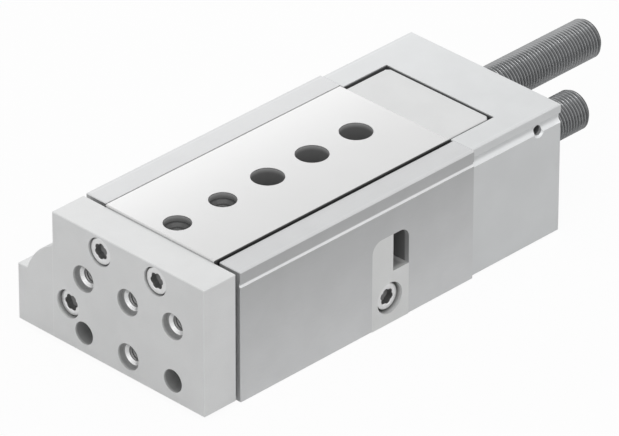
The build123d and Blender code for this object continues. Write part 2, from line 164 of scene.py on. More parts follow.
# %% [markdown]
# Machined and anodised metal is never one even grey. Up close it has a grain: round specks
# where the surface was blasted, long lines where it was ground or drawn. Noise gives both,
# because stretching the coordinates turns specks into lines. The group gives a tone and a
# height, and each material decides what they do.

# %% Grain, round or drawn out into lines
def noise(tree, position, size, detail, roughness):
    """Noise with specks of about a size."""
    scale = calculate(tree, "DIVIDE", 1.0, size)
    return add(tree, "ShaderNodeTexNoise", {"Vector": position, "Scale": scale, "Detail": detail,
                                            "Roughness": roughness}).outputs[0]


speck_range = (0.3, 0.7)
grain, given, result = start_group(
    "surface_grain", "ShaderNodeTree",
    [("Position", "NodeSocketVector", None), ("Size", "NodeSocketFloat", 0.1 * mm),
     ("Stretch", "NodeSocketVector", (1, 1, 1))],
    [("Tone", "NodeSocketFloat"), ("Height", "NodeSocketFloat")])
drawn_out = combine(grain, "DIVIDE", given["Position"], given["Stretch"])
specks = noise(grain, drawn_out, given["Size"], detail=3.0, roughness=0.6)
grain.links.new(ramp(grain, specks, *speck_range), result["Tone"])
grain.links.new(specks, result["Height"])
print("grain takes", len(grain.nodes), "nodes")

# %% [markdown]
# Handling and the anodising bath leave soft clouds a few millimetres wide, broken edges catch
# more light than the faces, and the walls of holes and gaps get little light. The clouds are
# one slow noise. The light on the edges is a painted highlight, and the dark in holes and gaps
# is painted shade. Neither needs a baked map: on a box-shaped piece, a point lies near an
# edge when it is close to two sides at once, and inside a hole when it is far from all sides.

# %% Soft clouds
cloud_range = (0.35, 0.65)
clouds, given, result = start_group(
    "soft_clouds", "ShaderNodeTree",
    [("Position", "NodeSocketVector", None), ("Size", "NodeSocketFloat", 9 * mm)],
    [("Tone", "NodeSocketFloat")])
slow = noise(clouds, given["Position"], given["Size"], detail=2.0, roughness=0.5)
clouds.links.new(ramp(clouds, slow, *cloud_range), result["Tone"])
print("clouds take", len(clouds.nodes), "nodes")

# %% Painted highlight on the edges and painted shade in the insides of a box-shaped piece
outside_slack = 0.05 * mm
bore_start, bore_end = 0.05 * mm, 0.3 * mm
edges, given, result = start_group(
    "painted_highlight_and_shade", "ShaderNodeTree",
    [("Position", "NodeSocketVector", None), ("Low", "NodeSocketVector", (0, 0, 0)),
     ("High", "NodeSocketVector", (1, 1, 1)), ("Width", "NodeSocketFloat", 0.2 * mm),
     ("Start", "NodeSocketFloat", 0.2 * mm), ("End", "NodeSocketFloat", 0.9 * mm)],
    [("Edge", "NodeSocketFloat"), ("Inside", "NodeSocketFloat"), ("Bore", "NodeSocketFloat")])
from_low = combine(edges, "SUBTRACT", given["Position"], given["Low"])
from_high = combine(edges, "SUBTRACT", given["High"], given["Position"])
away = axes_of(edges, combine(edges, "MINIMUM", from_low, from_high))
least, most, total = (fold(edges, step, away[:]) for step in ("MINIMUM", "MAXIMUM", "ADD"))
second = calculate(edges, "SUBTRACT", calculate(edges, "SUBTRACT", total, least), most)
band = ramp(edges, second, 0.0, given["Width"], 1.0, 0.0, "SMOOTHSTEP")
on_piece = calculate(edges, "GREATER_THAN", least, -outside_slack)
deep = ramp(edges, least, given["Start"], given["End"], shape="SMOOTHSTEP")
# The edge band is a painted highlight, and the inside mask is painted shade in holes and gaps.
edges.links.new(calculate(edges, "MULTIPLY", band, on_piece), result["Edge"])
edges.links.new(deep, result["Inside"])
edges.links.new(ramp(edges, least, bore_start, bore_end), result["Bore"])
print("edges and insides take", len(edges.nodes), "nodes")


# %% [markdown]
# One function makes every finish, because they differ only in a few facts: colour, how
# metallic and how rough the surface is, and the grain that the last tool left on it. The
# constant facts sit on the shader's own sockets, and the groups drive what changes. Two more
# functions find where a point lies on a large piece: by an edge or in a hole, and how high,
# so that a highlight on its edges, shade in its holes and light by height and side are painted.

# %% Place on a piece: edges and holes
def painted_edge_and_hole_masks(tree, position, node, inside, margin):
    """Masks over a node for its painted edge highlight and the painted shade in its holes. Inside
    starts with the depths, in mm, between which that shade deepens; margin, in mm, grows the
    node's box, or takes it in past a groove that stays bright."""
    low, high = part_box(node)
    low.y = max(low.y, -high.y)
    spare = Vector(margin) * mm
    return add(tree, "ShaderNodeGroup", {
        "Position": position, "Low": low - spare, "High": high + spare,
        "Start": inside[0] * mm, "End": inside[1] * mm}, node_tree=edges).outputs


# %% Painted light on a piece by its height and side
groove_start = 1.0 * mm
up_slope = 0.5


def painted_light_of_place(tree, coordinates, node, painted_fade, lip, far):
    """Painted light and shade of a long block: sides painted lighter towards the bottom, a painted
    highlight on the near groove's lower face, and a painted sheen on the top face towards its far
    edge. Fade is that of its sides at the bottom and at the top, lip that of the near groove's
    lower face, and far that of the top face along its far edge."""
    low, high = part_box(node)
    _, sideways, rise = axes_of(tree, coordinates["Object"])
    below = calculate(tree, "LESS_THAN", rise, high.z - groove_start)
    in_groove = calculate(tree, "MULTIPLY", below, calculate(tree, "GREATER_THAN", sideways, 0.0))
    painted_top_sheen = ramp(tree, sideways, -high.y, high.y, far, 1.0)
    painted_up_light = mix(tree, in_groove, painted_top_sheen, lip)
    painted_side_shade = ramp(tree, rise, low.z, high.z, *painted_fade)
    facing_up = ramp(tree, axes_of(tree, coordinates["Normal"])[2], 0.0, up_slope)
    return mix(tree, facing_up, painted_side_shade, painted_up_light)


# %% A finish with grain, clouds, a painted highlight on its edges and painted shade in its holes
grain_share = 0.7
edge_highlight_level = 1.08
bored_metallic = 0.15


def levels_of(colour, *levels):
    """The colour at each level, kept within white."""
    return [tuple(min(1, value * level) for value in colour) + (1,) for level in levels]


def finish(name, colour, metallic, roughness, size, stretch=(1, 1, 1), relief=2e-6, contrast=0.06,
           uneven=0.15, node=None, inside=(0.2, 0.9, 0.5), margin=(0, 0, 0), painted_fade=None, lip=1, far=1):
    """Finish of one piece. Size, stretch and relief are those of its grain; contrast and
    uneven say how far colour and roughness vary; the last of inside is the level of the
    painted shade in a hole."""
    material = bpy.data.materials.new(name)
    material.use_nodes = True
    tree = material.node_tree
    shader = tree.nodes["Principled BSDF"].inputs
    shader["Metallic"].default_value = metallic
    coordinates = add(tree, "ShaderNodeTexCoord").outputs
    position = coordinates["Object"]
    marks = add(tree, "ShaderNodeGroup", {"Position": position, "Size": size, "Stretch": stretch},
                node_tree=grain).outputs
    haze = add(tree, "ShaderNodeGroup", {"Position": position}, node_tree=clouds).outputs
    tone = mix(tree, marks["Tone"], 0.0, grain_share)
    tone = calculate(tree, "MULTIPLY_ADD", haze["Tone"], 1 - grain_share, tone)
    paint = mix_colours(tree, tone, *levels_of(colour, 1 - contrast, 1 + contrast))
    if node:
        place = painted_edge_and_hole_masks(tree, position, node, inside, margin)
        # Painted highlight on the edges and painted shade in the holes, whose walls also mirror less.
        bright, dim = levels_of(colour, edge_highlight_level, inside[2])
        paint = mix_colours(tree, place["Edge"], paint, bright)
        paint = mix_colours(tree, place["Inside"], paint, dim)
        metal = calculate(tree, "MULTIPLY_ADD", place["Bore"], bored_metallic - metallic, metallic)
        tree.links.new(metal, shader["Metallic"])
    # Painted light and shade by height, side and facing.
    if painted_fade:
        paint = shade(tree, paint, painted_light_of_place(tree, coordinates, node, painted_fade, lip, far))
    tree.links.new(paint, shader["Base Color"])
    dullness = ramp(tree, tone, 0.0, 1.0, roughness * (1 - uneven), roughness * (1 + uneven))
    tree.links.new(dullness, shader["Roughness"])
    bump = add(tree, "ShaderNodeBump", {"Height": marks["Height"], "Distance": relief, "Strength": 1.0})
    tree.links.new(bump.outputs[0], shader["Normal"])
    return material


# %% [markdown]
# The housing, the rear block and the yoke are clear anodised aluminium: matt, pale, with a
# grain that runs along the drawn housing and is round on the milled yoke. The slide is ground
# steel, brighter and smoother, with its grinding lines along the travel. A margin of a metre
# moves a side out of the way where a piece has no edge or hole that counts from there.

# %% Finishes of the large pieces
drawn_along_x = (60, 1, 1)
ground_along_x = (90, 1, 1)
large = {
    # The housing and the rear block also get painted light by height and side, and a painted highlight
    # in the groove.
    "housing": finish("drawn_housing", (0.65, 0.655, 0.66), 0.5, 0.37, 0.05 * mm, drawn_along_x,
                      node="housing", inside=(0.1, 0.6, 0.36), margin=(0, -1, 0),
                      painted_fade=(1.09, 0.73), lip=1.4, far=1.11),
    "rear_block": finish("milled_rear_block", (0.685, 0.695, 0.70), 0.6, 0.45, 0.09 * mm,
                         node="rear_block", inside=(0.1, 0.5, 0.2), margin=(0, -1, 0),
                         painted_fade=(1.02, 0.97), lip=1.25, far=1.07),
    "yoke_plate": finish("milled_yoke", (0.76, 0.765, 0.765), 0.5, 0.42, 0.09 * mm,
                         node="yoke_plate", inside=(0.1, 0.8, 0.55)),
    "stop_insert": finish("anodised_insert", (0.75, 0.755, 0.75), 0.4, 0.45, 0.08 * mm,
                          node="stop_insert", inside=(0.3, 2.0, 0.5)),
    "slide": finish("ground_slide", (0.695, 0.695, 0.695), 0.8, 0.22, 0.04 * mm, ground_along_x,
                    relief=5e-8, contrast=0.01, uneven=0.03,
                    node="slide", inside=(0, 1.6, 0.40), margin=(0, 1000, 0)),
    "slide_end_block": finish("anodised_end_block", (0.725, 0.73, 0.73), 0.5, 0.44, 0.09 * mm,
                              node="slide_end_block", inside=(0.1, 0.5, 0.25),
                              margin=(1000, 1000, 0)),
}
print("finishes of large pieces:", ", ".join(material.name for material in large.values()))

# %% [markdown]
# The narrow gap beside the slide lies in shade, so its flanks get painted shadow from the top
# edge down, and a thin line of painted shadow follows its far edge, at the gap to the rail.
# Both follow from the distance across the slide. The ledges in its small tapped holes get
# painted shade too: they are what faces up below the top. So there are three more masks over
# the ground finish.

# %% Painted shadow on the flanks, the far edge and the ledges of the slide
flank_band, edge_line, ledge_start = 0.15 * mm, 0.5 * mm, 0.3 * mm
flank_shadow_tone, gap_shadow_line_tone, ledge_shade_tone = 0.12, 0.25, 0.35
tree = large["slide"].node_tree
paint = tree.nodes["Principled BSDF"].inputs["Base Color"]
ground = paint.links[0].from_socket
half_width, slide_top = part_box("slide")[1].yz
coordinates = add(tree, "ShaderNodeTexCoord").outputs
_, sideways, rise = axes_of(tree, coordinates["Object"])
reach = calculate(tree, "ABSOLUTE", sideways)
on_flank = calculate(tree, "GREATER_THAN", reach, half_width - flank_band)
on_line = calculate(tree, "LESS_THAN", sideways, edge_line - half_width)
looks_up = calculate(tree, "GREATER_THAN", axes_of(tree, coordinates["Normal"])[2], up_slope)
below = calculate(tree, "LESS_THAN", rise, slide_top - ledge_start)
on_ledge = calculate(tree, "MULTIPLY", looks_up, below)
level = mix(tree, on_flank, mix(tree, on_line, 1.0, gap_shadow_line_tone), flank_shadow_tone)
level = calculate(tree, "MULTIPLY", level, mix(tree, on_ledge, 1.0, ledge_shade_tone))
tree.links.new(shade(tree, ground, level), paint)
print("slide is", round(2 * half_width / mm, 2), "mm wide")

# %% [markdown]
# The small pieces are mostly hidden, but each keeps the finish that it has when the slide is
# taken apart: polished rod and balls, turned aluminium, brass, moulded rubber and plastic.
# A turned piece has its grain stretched round its axis, across X.

# %% Finishes of the small pieces
turned_round_x = (1, 40, 40)
small = {
    "screw_steel": finish("plated_screws", (0.86, 0.86, 0.86), 0.8, 0.30, 0.05 * mm),
    "rod_chrome": finish("hard_chrome", (0.80, 0.81, 0.82), 1.0, 0.12, 0.03 * mm,
                         turned_round_x, relief=5e-7, contrast=0.03),
    "piston_aluminium": finish("turned_aluminium", (0.66, 0.67, 0.68), 0.9, 0.30, 0.05 * mm,
                               turned_round_x),
    "seal_rubber": finish("moulded_rubber", (0.035, 0.035, 0.036), 0.0, 0.62, 0.06 * mm,
                          contrast=0.2),
    "magnet_plastic": finish("bonded_magnet", (0.10, 0.10, 0.105), 0.0, 0.55, 0.08 * mm,
                             contrast=0.2),
    "bush_brass": finish("turned_brass", (0.66, 0.49, 0.24), 0.9, 0.30, 0.05 * mm, turned_round_x),
    "spring_steel": finish("phosphated_spring", (0.16, 0.16, 0.165), 0.6, 0.50, 0.06 * mm),
    "absorber_steel": finish("rolled_thread", (0.38, 0.385, 0.39), 1.0, 0.24, 0.06 * mm,
                             contrast=0.15),
    "tip_plastic": finish("moulded_tip", (0.78, 0.77, 0.72), 0.0, 0.45, 0.08 * mm),
    "hardened_steel": finish("hardened_rail", (0.50, 0.50, 0.50), 0.9, 0.25, 0.04 * mm,
                             ground_along_x),
    "cage_plastic": finish("moulded_cage", (0.06, 0.065, 0.07), 0.0, 0.45, 0.08 * mm, contrast=0.2),
    "ball_steel": finish("polished_balls", (0.78, 0.78, 0.79), 1.0, 0.08, 0.05 * mm,
                         relief=3e-7, contrast=0.03),
}

# %% Give every solid of the frame its finish
for name, solid in nodes.items():
    solid.data.materials.clear()
    solid.data.materials.append(large.get(name) or small[slots[name]])
print(len(nodes), "solids have", len(large) + len(small), "finishes")

# %% [markdown]
# The absorbers are threaded from end to end, and the mounting holes are tapped. A thread is
# one profile that climbs as it goes round, so it is a flat grid wound up: the long way of the
# grid becomes the angle, and the short way the profile, with its root, flanks and crest. A
# modelled helix shows its lead at every end, which rings or a bump texture never do.

# %% Thread: a grid wound into a helix
profile_points, crest_start, crest_end, point_slack = 5, 0.5, 0.75, 0.1
crest_trim = 0.0625  # of the pitch, off each end of the crest
weld = 1e-6
thread, given, result = start_group(
    "wound_thread", "GeometryNodeTree",
    [("Length", "NodeSocketFloat", 10 * mm), ("Root Radius", "NodeSocketFloat", 4.4 * mm),
     ("Depth", "NodeSocketFloat", 0.6 * mm), ("Pitch", "NodeSocketFloat", 1.0 * mm),
     ("Steps", "NodeSocketInt", 48), ("Inside", "NodeSocketBool", False)],
    [("Mesh", "NodeSocketGeometry")])
turns = calculate(thread, "CEIL", calculate(thread, "DIVIDE", given["Length"], given["Pitch"]))
turns = calculate(thread, "ADD", turns, 1.0)
columns = calculate(thread, "MULTIPLY_ADD", turns, given["Steps"], 1.0)
count = add(thread, "FunctionNodeFloatToInt", {0: columns}, rounding_mode="ROUND").outputs[0]
sheet = add(thread, "GeometryNodeMeshGrid", {
    "Size X": 1.0, "Size Y": 1.0, "Vertices X": count, "Vertices Y": profile_points}).outputs["Mesh"]
place = axes_of(thread, add(thread, "GeometryNodeInputPosition").outputs[0])
along = calculate(thread, "MULTIPLY", calculate(thread, "ADD", place[0], 0.5), turns)
across = calculate(thread, "ADD", place[1], 0.5)
rising = calculate(thread, "COMPARE", across, crest_start, point_slack)
falling = calculate(thread, "COMPARE", across, crest_end, point_slack)

# %% Thread: how far each point climbs
trim = calculate(thread, "MULTIPLY", calculate(thread, "SUBTRACT", rising, falling), crest_trim)
climb = calculate(thread, "SUBTRACT", calculate(thread, "ADD", along, across), 1.0)
climb = calculate(thread, "MULTIPLY", calculate(thread, "ADD", climb, trim), given["Pitch"])
height = calculate(thread, "MINIMUM", calculate(thread, "MAXIMUM", climb, 0.0), given["Length"])
from_top = calculate(thread, "SUBTRACT", given["Length"], height)
to_end = calculate(thread, "MINIMUM", height, from_top)

# %% Thread: how far each point stands out, and the wound mesh
crest = calculate(thread, "MULTIPLY", calculate(thread, "ADD", rising, falling), given["Depth"])
lift = calculate(thread, "MINIMUM", crest, to_end)
way = calculate(thread, "MULTIPLY_ADD", given["Inside"], -2.0, 1.0)
radius = calculate(thread, "MULTIPLY_ADD", lift, way, given["Root Radius"])
angle = calculate(thread, "MULTIPLY", along, 2 * math.pi)
wound = add(thread, "ShaderNodeCombineXYZ", {
    0: calculate(thread, "MULTIPLY", radius, calculate(thread, "COSINE", angle)),
    1: calculate(thread, "MULTIPLY", radius, calculate(thread, "SINE", angle)), 2: height})
shaped = add(thread, "GeometryNodeSetPosition", {"Geometry": sheet, "Position": wound.outputs[0]})
welded = add(thread, "GeometryNodeMergeByDistance",
             {"Geometry": shaped.outputs[0], "Distance": weld})
turned = add(thread, "GeometryNodeFlipFaces",
             {"Mesh": welded.outputs[0], "Selection": given["Inside"]})
thread.links.new(turned.outputs[0], result["Mesh"])
print("thread takes", len(thread.nodes), "nodes")


# %% [markdown]
# The same thread is set at every hole of a pattern, so a second tree puts copies on points,
# turned so that their axis follows the hole. The points come from the record's mounts, and
# the tree ends by making the copies real, because an export keeps no instances. Other pieces
# are set at points too, so the last steps of such a tree are a function.

# %% Copies of a shape at given points
def copies_at_points(tree, given, shape, twist=None):
    """Real copies of a shape at a tree's points, along its direction and in its finish."""
    pose = add(tree, "FunctionNodeAlignRotationToVector", {"Vector": given["Direction"]}, axis="Z")
    if twist:
        pose = add(tree, "FunctionNodeRotateRotation",
                   {"Rotation": pose.outputs[0], "Rotate By": twist}, rotation_space="LOCAL")
    copies = add(tree, "GeometryNodeInstanceOnPoints",
                 {"Points": given["Points"], "Instance": shape, "Rotation": pose.outputs[0]})
    real = add(tree, "GeometryNodeRealizeInstances", {"Geometry": copies.outputs[0]})
    return add(tree, "GeometryNodeSetMaterial",
               {"Geometry": real.outputs[0], "Material": given["Finish"]}).outputs[0]


tapped, given, result = start_group(
    "threads_at_points", "GeometryNodeTree",
    [("Points", "NodeSocketGeometry", None), ("Direction", "NodeSocketVector", (0, 0, 1)),
     ("Length", "NodeSocketFloat", 6 * mm), ("Root Radius", "NodeSocketFloat", 2.1 * mm),
     ("Depth", "NodeSocketFloat", 0.2 * mm), ("Pitch", "NodeSocketFloat", 0.8 * mm),
     ("Steps", "NodeSocketInt", 48), ("Inside", "NodeSocketBool", True),
     ("Finish", "NodeSocketMaterial", None)],
    [("Mesh", "NodeSocketGeometry")])
passed_on = ("Length", "Root Radius", "Depth", "Pitch", "Steps", "Inside")
one = add(tapped, "GeometryNodeGroup", {label: given[label] for label in passed_on},
          node_tree=thread)
tapped.links.new(copies_at_points(tapped, given, one.outputs[0]), result["Mesh"])
print("threads at points take", len(tapped.nodes), "nodes")

# %% Run a tree on points and keep the result as a plain mesh
sharp_angle = math.radians(28)


def grow(name, tree, points, sizes):
    """Piece that a tree makes at points, with the inputs that are named in sizes."""
    start = bpy.data.meshes.new(name)
    start.from_pydata(points, [], [])
    piece = bpy.data.objects.new(name, start)
    bpy.context.collection.objects.link(piece)
    modifier = piece.modifiers.new(name, "NODES")
    modifier.node_group = tree
    for socket in tree.interface.items_tree:
        if socket.in_out == "INPUT" and socket.name in sizes:
            modifier[socket.identifier] = sizes[socket.name]
    seen = piece.evaluated_get(bpy.context.evaluated_depsgraph_get())
    mesh = bpy.data.meshes.new_from_object(seen)
    piece.modifiers.remove(modifier)
    piece.data = mesh
    mesh.name = name
    mesh.set_sharp_from_angle(angle=sharp_angle)
    print(name, len(mesh.polygons), "faces")
    return piece


# %% [markdown]
# The roots of a rolled thread get painted shade, and its crests keep the plain tone. How
# deep a point lies follows from its distance to the thread's axis, so one more group turns
# that into a mask. It also marks the last turns at the open end, which get painted shade all over.

# %% Depth in a thread along X
in_thread, given, result = start_group(
    "depth_in_thread", "ShaderNodeTree",
    [("Position", "NodeSocketVector", None), ("End", "NodeSocketVector", (0, 0, 0)),
     ("Root Radius", "NodeSocketFloat", 4.7 * mm), ("Crest Radius", "NodeSocketFloat", 5.3 * mm),
     ("End Length", "NodeSocketFloat", 1.5 * mm)],
    [("Crest", "NodeSocketFloat"), ("Open End", "NodeSocketFloat")])
arm = combine(in_thread, "SUBTRACT", given["Position"], given["End"])
flat = combine(in_thread, "MULTIPLY", arm, (0, 1, 1))
reach = add(in_thread, "ShaderNodeVectorMath", {0: flat}, operation="LENGTH").outputs["Value"]
risen = ramp(in_thread, reach, given["Root Radius"], given["Crest Radius"], shape="SMOOTHSTEP")
ending = ramp(in_thread, axes_of(in_thread, arm)[0], 0.0, given["End Length"], 1.0, 0.0,
              "SMOOTHSTEP")
in_thread.links.new(risen, result["Crest"])
in_thread.links.new(ending, result["Open End"])
print("depth in a thread takes", len(in_thread.nodes), "nodes")

# %% Finish of a rolled thread, with painted shade in its roots and at its open end
# Levels of the painted shade: roots and the open end are darker, crests plain.
root_shade_tone, crest_tone, end_shade_tone = 0.72, 1.0, 0.3


def rolled_thread(side, end, root, crest):
    """Painted shade in the roots and over the open end, over the finish of the small steel."""
    material = small["absorber_steel"].copy()
    material.name = f"rolled_thread_{side}"
    tree = material.node_tree
    paint = tree.nodes["Principled BSDF"].inputs["Base Color"]
    plain = paint.links[0].from_socket
    position = add(tree, "ShaderNodeTexCoord").outputs["Object"]
    place = add(tree, "ShaderNodeGroup", {"Position": position, "End": end, "Root Radius": root,
                                          "Crest Radius": crest}, node_tree=in_thread).outputs
    level = mix(tree, place["Crest"], root_shade_tone, crest_tone)
    level = calculate(tree, "MULTIPLY", level, mix(tree, place["Open End"], 1.0, end_shade_tone))
    tree.links.new(shade(tree, plain, level), paint)
    return material


# %% [markdown]
# Each absorber is the frame's own body with its outside turned down to the thread's root, and
# the wound thread laid round it. The nose bore and the key socket stay as they are. The copy
# of the frame's mesh is welded first, because its faces are loose triangles.

# %% Copy of a node's mesh, and a round one turned down
def welded_copy(node):
    """Bmesh of a node, with its loose triangles joined."""
    mesh = bmesh.new()
    mesh.from_mesh(nodes[node].data)
    bmesh.ops.remove_doubles(mesh, verts=mesh.verts, dist=weld)
    return mesh


def turned_down(node, radius):
    """Copy of a round solid along X, with its outside brought in to a radius."""
    mesh = welded_copy(node)
    low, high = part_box(node)
    axis = (low + high) / 2
    for vertex in mesh.verts:
        arm = Vector((0, vertex.co.y - axis.y, vertex.co.z - axis.z))
        if arm.length > radius:
            vertex.co -= arm * (1 - radius / arm.length)
    return mesh


# %% Set a finished mesh in the scene
def set_in_scene(name, mesh, material, body, node):
    """Makes a bmesh a piece that rides on a body and stands for a node."""
    data = bpy.data.meshes.new(name)
    mesh.to_mesh(data)
    mesh.free()
    data.materials.clear()
    data.materials.append(material)
    data.set_sharp_from_angle(angle=sharp_angle)
    piece = bpy.data.objects.new(name, data)
    bpy.context.collection.objects.link(piece)
    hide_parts(node)
    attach(piece, body)


# %% Threaded absorbers
absorber_pitch = 1.0 * mm
absorber_depth = 0.613 * mm
absorber_steps = 64
core_gap = 0.01 * mm

for side, body in (("near", "slide_body"), ("far", "housing_body")):
    node = f"{side}_absorber_body"
    low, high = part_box(node)
    end = Vector((low.x, (low.y + high.y) / 2, (low.z + high.z) / 2))
    root = (high.y - low.y) / 2 - absorber_depth
    steel = rolled_thread(side, end, root, root + absorber_depth)
    wound = grow(f"{side}_thread", tapped, [end], {
        "Direction": (1, 0, 0), "Length": high.x - low.x, "Root Radius": root,
        "Depth": absorber_depth, "Pitch": absorber_pitch, "Steps": absorber_steps,
        "Inside": False, "Finish": steel})
    whole = turned_down(node, root - core_gap)
    whole.from_mesh(wound.data)
    bpy.data.objects.remove(wound)
    set_in_scene(f"{side}_absorber", whole, steel, body, node)

# %% [markdown]
# Tapped holes show a dark, ribbed wall below their countersink: the liners' dark finishes are
# painted shade inside the holes, darker in the slide's small holes. The record's mounts say where
# each thread starts and which way it runs, so the liners follow the model if it changes.

# %% One set of threads in mounting holes
tap_pitch = 0.8 * mm
tap_depth = 0.24 * mm
tap_clear = 0.03 * mm
tap_steps = 40
# Dark liner finishes: painted shade inside the tapped holes.
fine_bore = finish("tapped_bore", (0.30, 0.30, 0.30), 0.8, 0.35, 0.05 * mm)
painted_shade_bore = finish("painted_shade_bore", (0.11, 0.11, 0.11), 0.8, 0.25, 0.05 * mm)


def tap(name, mount, length, spacing=None, body="housing_body",
        bore=fine_bore):
    """Liners of a thread: one at a mount, or two that are spaced about it."""
    facts = mounts[mount]
    axis = Vector(facts["axis"])
    middle = Vector(facts["pos_m"]) - axis * length / 2
    steps = [spacing / 2, spacing / -2] if spacing else [Vector()]
    core = facts["dims"].get("r_mm") or facts["dims"]["hole_r_mm"]
    piece = grow(name, tapped, [middle + step for step in steps], {
        "Direction": axis, "Length": length, "Root Radius": core * mm + tap_clear,
        "Depth": tap_depth, "Pitch": tap_pitch, "Steps": tap_steps, "Inside": True,
        "Finish": bore})
    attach(piece, body)


# %% Threads in the mounting holes
wide = Vector((0, 30 * mm, 0))
high_and_low = Vector((0, 0, 15 * mm))
lengthwise = Vector((15 * mm, 0, 0))
outer = Vector((30 * mm, 0, 0))
tap("yoke_side_threads", "yoke_side_threads", 7.2 * mm, wide, "slide_body")
tap("yoke_middle_threads", "yoke_middle_threads", 7.2 * mm, high_and_low, "slide_body")
tap("slide_top_threads", "slide_threads", 4.8 * mm, lengthwise, "slide_body",
    painted_shade_bore)
tap("outer_base_threads", "outer_threads", 5.0 * mm, outer)
tap("middle_base_thread", "middle_thread", 5.0 * mm)
tap("front_port_thread", "front_port", 4.6 * mm)
tap("rear_port_thread", "rear_port", 4.6 * mm)

# %% [markdown]
# The yoke's threads start at the bottom of a centring bore, with a countersink whose cone
# catches the light, so it gets a painted highlight. The cone is already in the solid, so painting
# its faces would do, but then the material must know every hole. A thin ring with a pale finish
# laid on each cone is simpler, and a third small tree sets one at every centre.

# %% Tree that sets a ring at each point
countersink, given, result = start_group(
    "rings_at_points", "GeometryNodeTree",
    [("Points", "NodeSocketGeometry", None), ("Direction", "NodeSocketVector", (1, 0, 0)),
     ("Mouth Radius", "NodeSocketFloat", 2.8 * mm), ("Core Radius", "NodeSocketFloat", 2.1 * mm),
     ("Depth", "NodeSocketFloat", 0.7 * mm), ("Finish", "NodeSocketMaterial", None)],
    [("Mesh", "NodeSocketGeometry")])
cone = add(countersink, "GeometryNodeMeshCone",
           {"Vertices": 64, "Radius Top": given["Mouth Radius"],
            "Radius Bottom": given["Core Radius"], "Depth": given["Depth"]}, fill_type="NONE")
opened = add(countersink, "GeometryNodeFlipFaces", {"Mesh": cone.outputs["Mesh"]})
rings = copies_at_points(countersink, given, opened.outputs[0])
countersink.links.new(rings, result["Mesh"])
print("rings at points take", len(countersink.nodes), "nodes")

# %% Painted highlight on the countersinks in the yoke
centring_depth = 1.6 * mm
mouth_depth = 0.7 * mm
proud = 0.01 * mm
# The pale ring is a painted highlight on each countersink's cone.
painted_countersink_highlight = finish("painted_countersink_highlight", (0.90, 0.90, 0.90), 0.7, 0.30, 0.05 * mm)
centres = []
for row, spread in (("yoke_side_threads", wide), ("yoke_middle_threads", high_and_low)):
    for step in (0.5, -0.5):
        centre = Vector(mounts[row]["pos_m"]) + spread * step
        centre.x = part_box("yoke_plate")[1].x - centring_depth - mouth_depth
        centres.append(centre)
core_radius = mounts["yoke_side_threads"]["dims"]["hole_r_mm"] * mm - proud
cut_rings = grow("yoke_countersinks", countersink, centres, {
    "Direction": (1, 0, 0), "Mouth Radius": core_radius + mouth_depth,
    "Core Radius": core_radius, "Depth": mouth_depth, "Finish": painted_countersink_highlight})
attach(cut_rings, "slide_body")

# %% [markdown]
# The cap screws have a six-lobed socket. The frame's screws are plain, so one detailed screw
# is made and set in the place of each. Its head is a stack of rings: round outside, lobed
# inside, where the radius follows half waves that meet in cusps. The seats are found from the
# frame's own screws, one island of its mesh for each.

# %% Sizes of the cap screws
lobes = 6
ring_steps = 72
head_height = 4.0 * mm
shank_radius = 1.65 * mm
tip_break, seat_break, rim_break = 0.3 * mm, 0.1 * mm, 0.45 * mm
socket_radius, lobe_height = 1.90 * mm, 0.19 * mm
socket_depth, socket_break, socket_flare = 1.9 * mm, 0.15 * mm, 0.05 * mm
socket_land = 0.2 * mm
drill_point, drill_share = 0.35 * mm, 0.45
screw_thread = {"Root Radius": 1.66 * mm, "Depth": 0.33 * mm, "Pitch": 0.7 * mm, "Steps": 24,
                "Inside": False}


# %% One cap screw with a lobed socket
def ring_of(mesh, height, radius, wave=0.0):
    """Ring of vertices at a height, round or with lobes that meet in cusps."""
    ring = []
    for step in range(ring_steps):
        turn = 2 * math.pi * step / ring_steps
        reach = radius + wave * (2 * abs(math.cos(lobes / 2 * turn)) - 1)
        ring.append(mesh.verts.new((reach * math.cos(turn), reach * math.sin(turn), height)))
    return ring


def lobed_screw(head_radius, length):
    """Cap screw along Z that seats on z = 0, without its thread. Its socket is marked."""
    mesh = bmesh.new()
    top = head_height
    outside = [
        (-length, shank_radius - tip_break), (-length + tip_break, shank_radius),
        (0, shank_radius), (0, head_radius - seat_break), (seat_break, head_radius),
        (top - rim_break, head_radius), (top - rim_break / 3, head_radius - rim_break / 3),
        (top, head_radius - rim_break), (top, socket_radius + lobe_height + socket_land)]
    socket = [
        (top - socket_break, socket_radius + socket_flare, lobe_height),
        (top - socket_depth, socket_radius, lobe_height),
        (top - socket_depth - drill_point, socket_radius * drill_share)]
    rings = [ring_of(mesh, *facts) for facts in outside + socket]
    inside = mesh.faces.layers.bool.new("socket")
    for index, (lower, upper) in enumerate(zip(rings, rings[1:])):
        for step in range(ring_steps):
            after = (step + 1) % ring_steps
            face = mesh.faces.new((lower[step], lower[after], upper[after], upper[step]))
            face[inside] = index >= len(outside)
    mesh.faces.new(list(reversed(rings[0])))
    mesh.faces.new(rings[-1])[inside] = True
    bmesh.ops.recalc_face_normals(mesh, faces=mesh.faces)
    return mesh


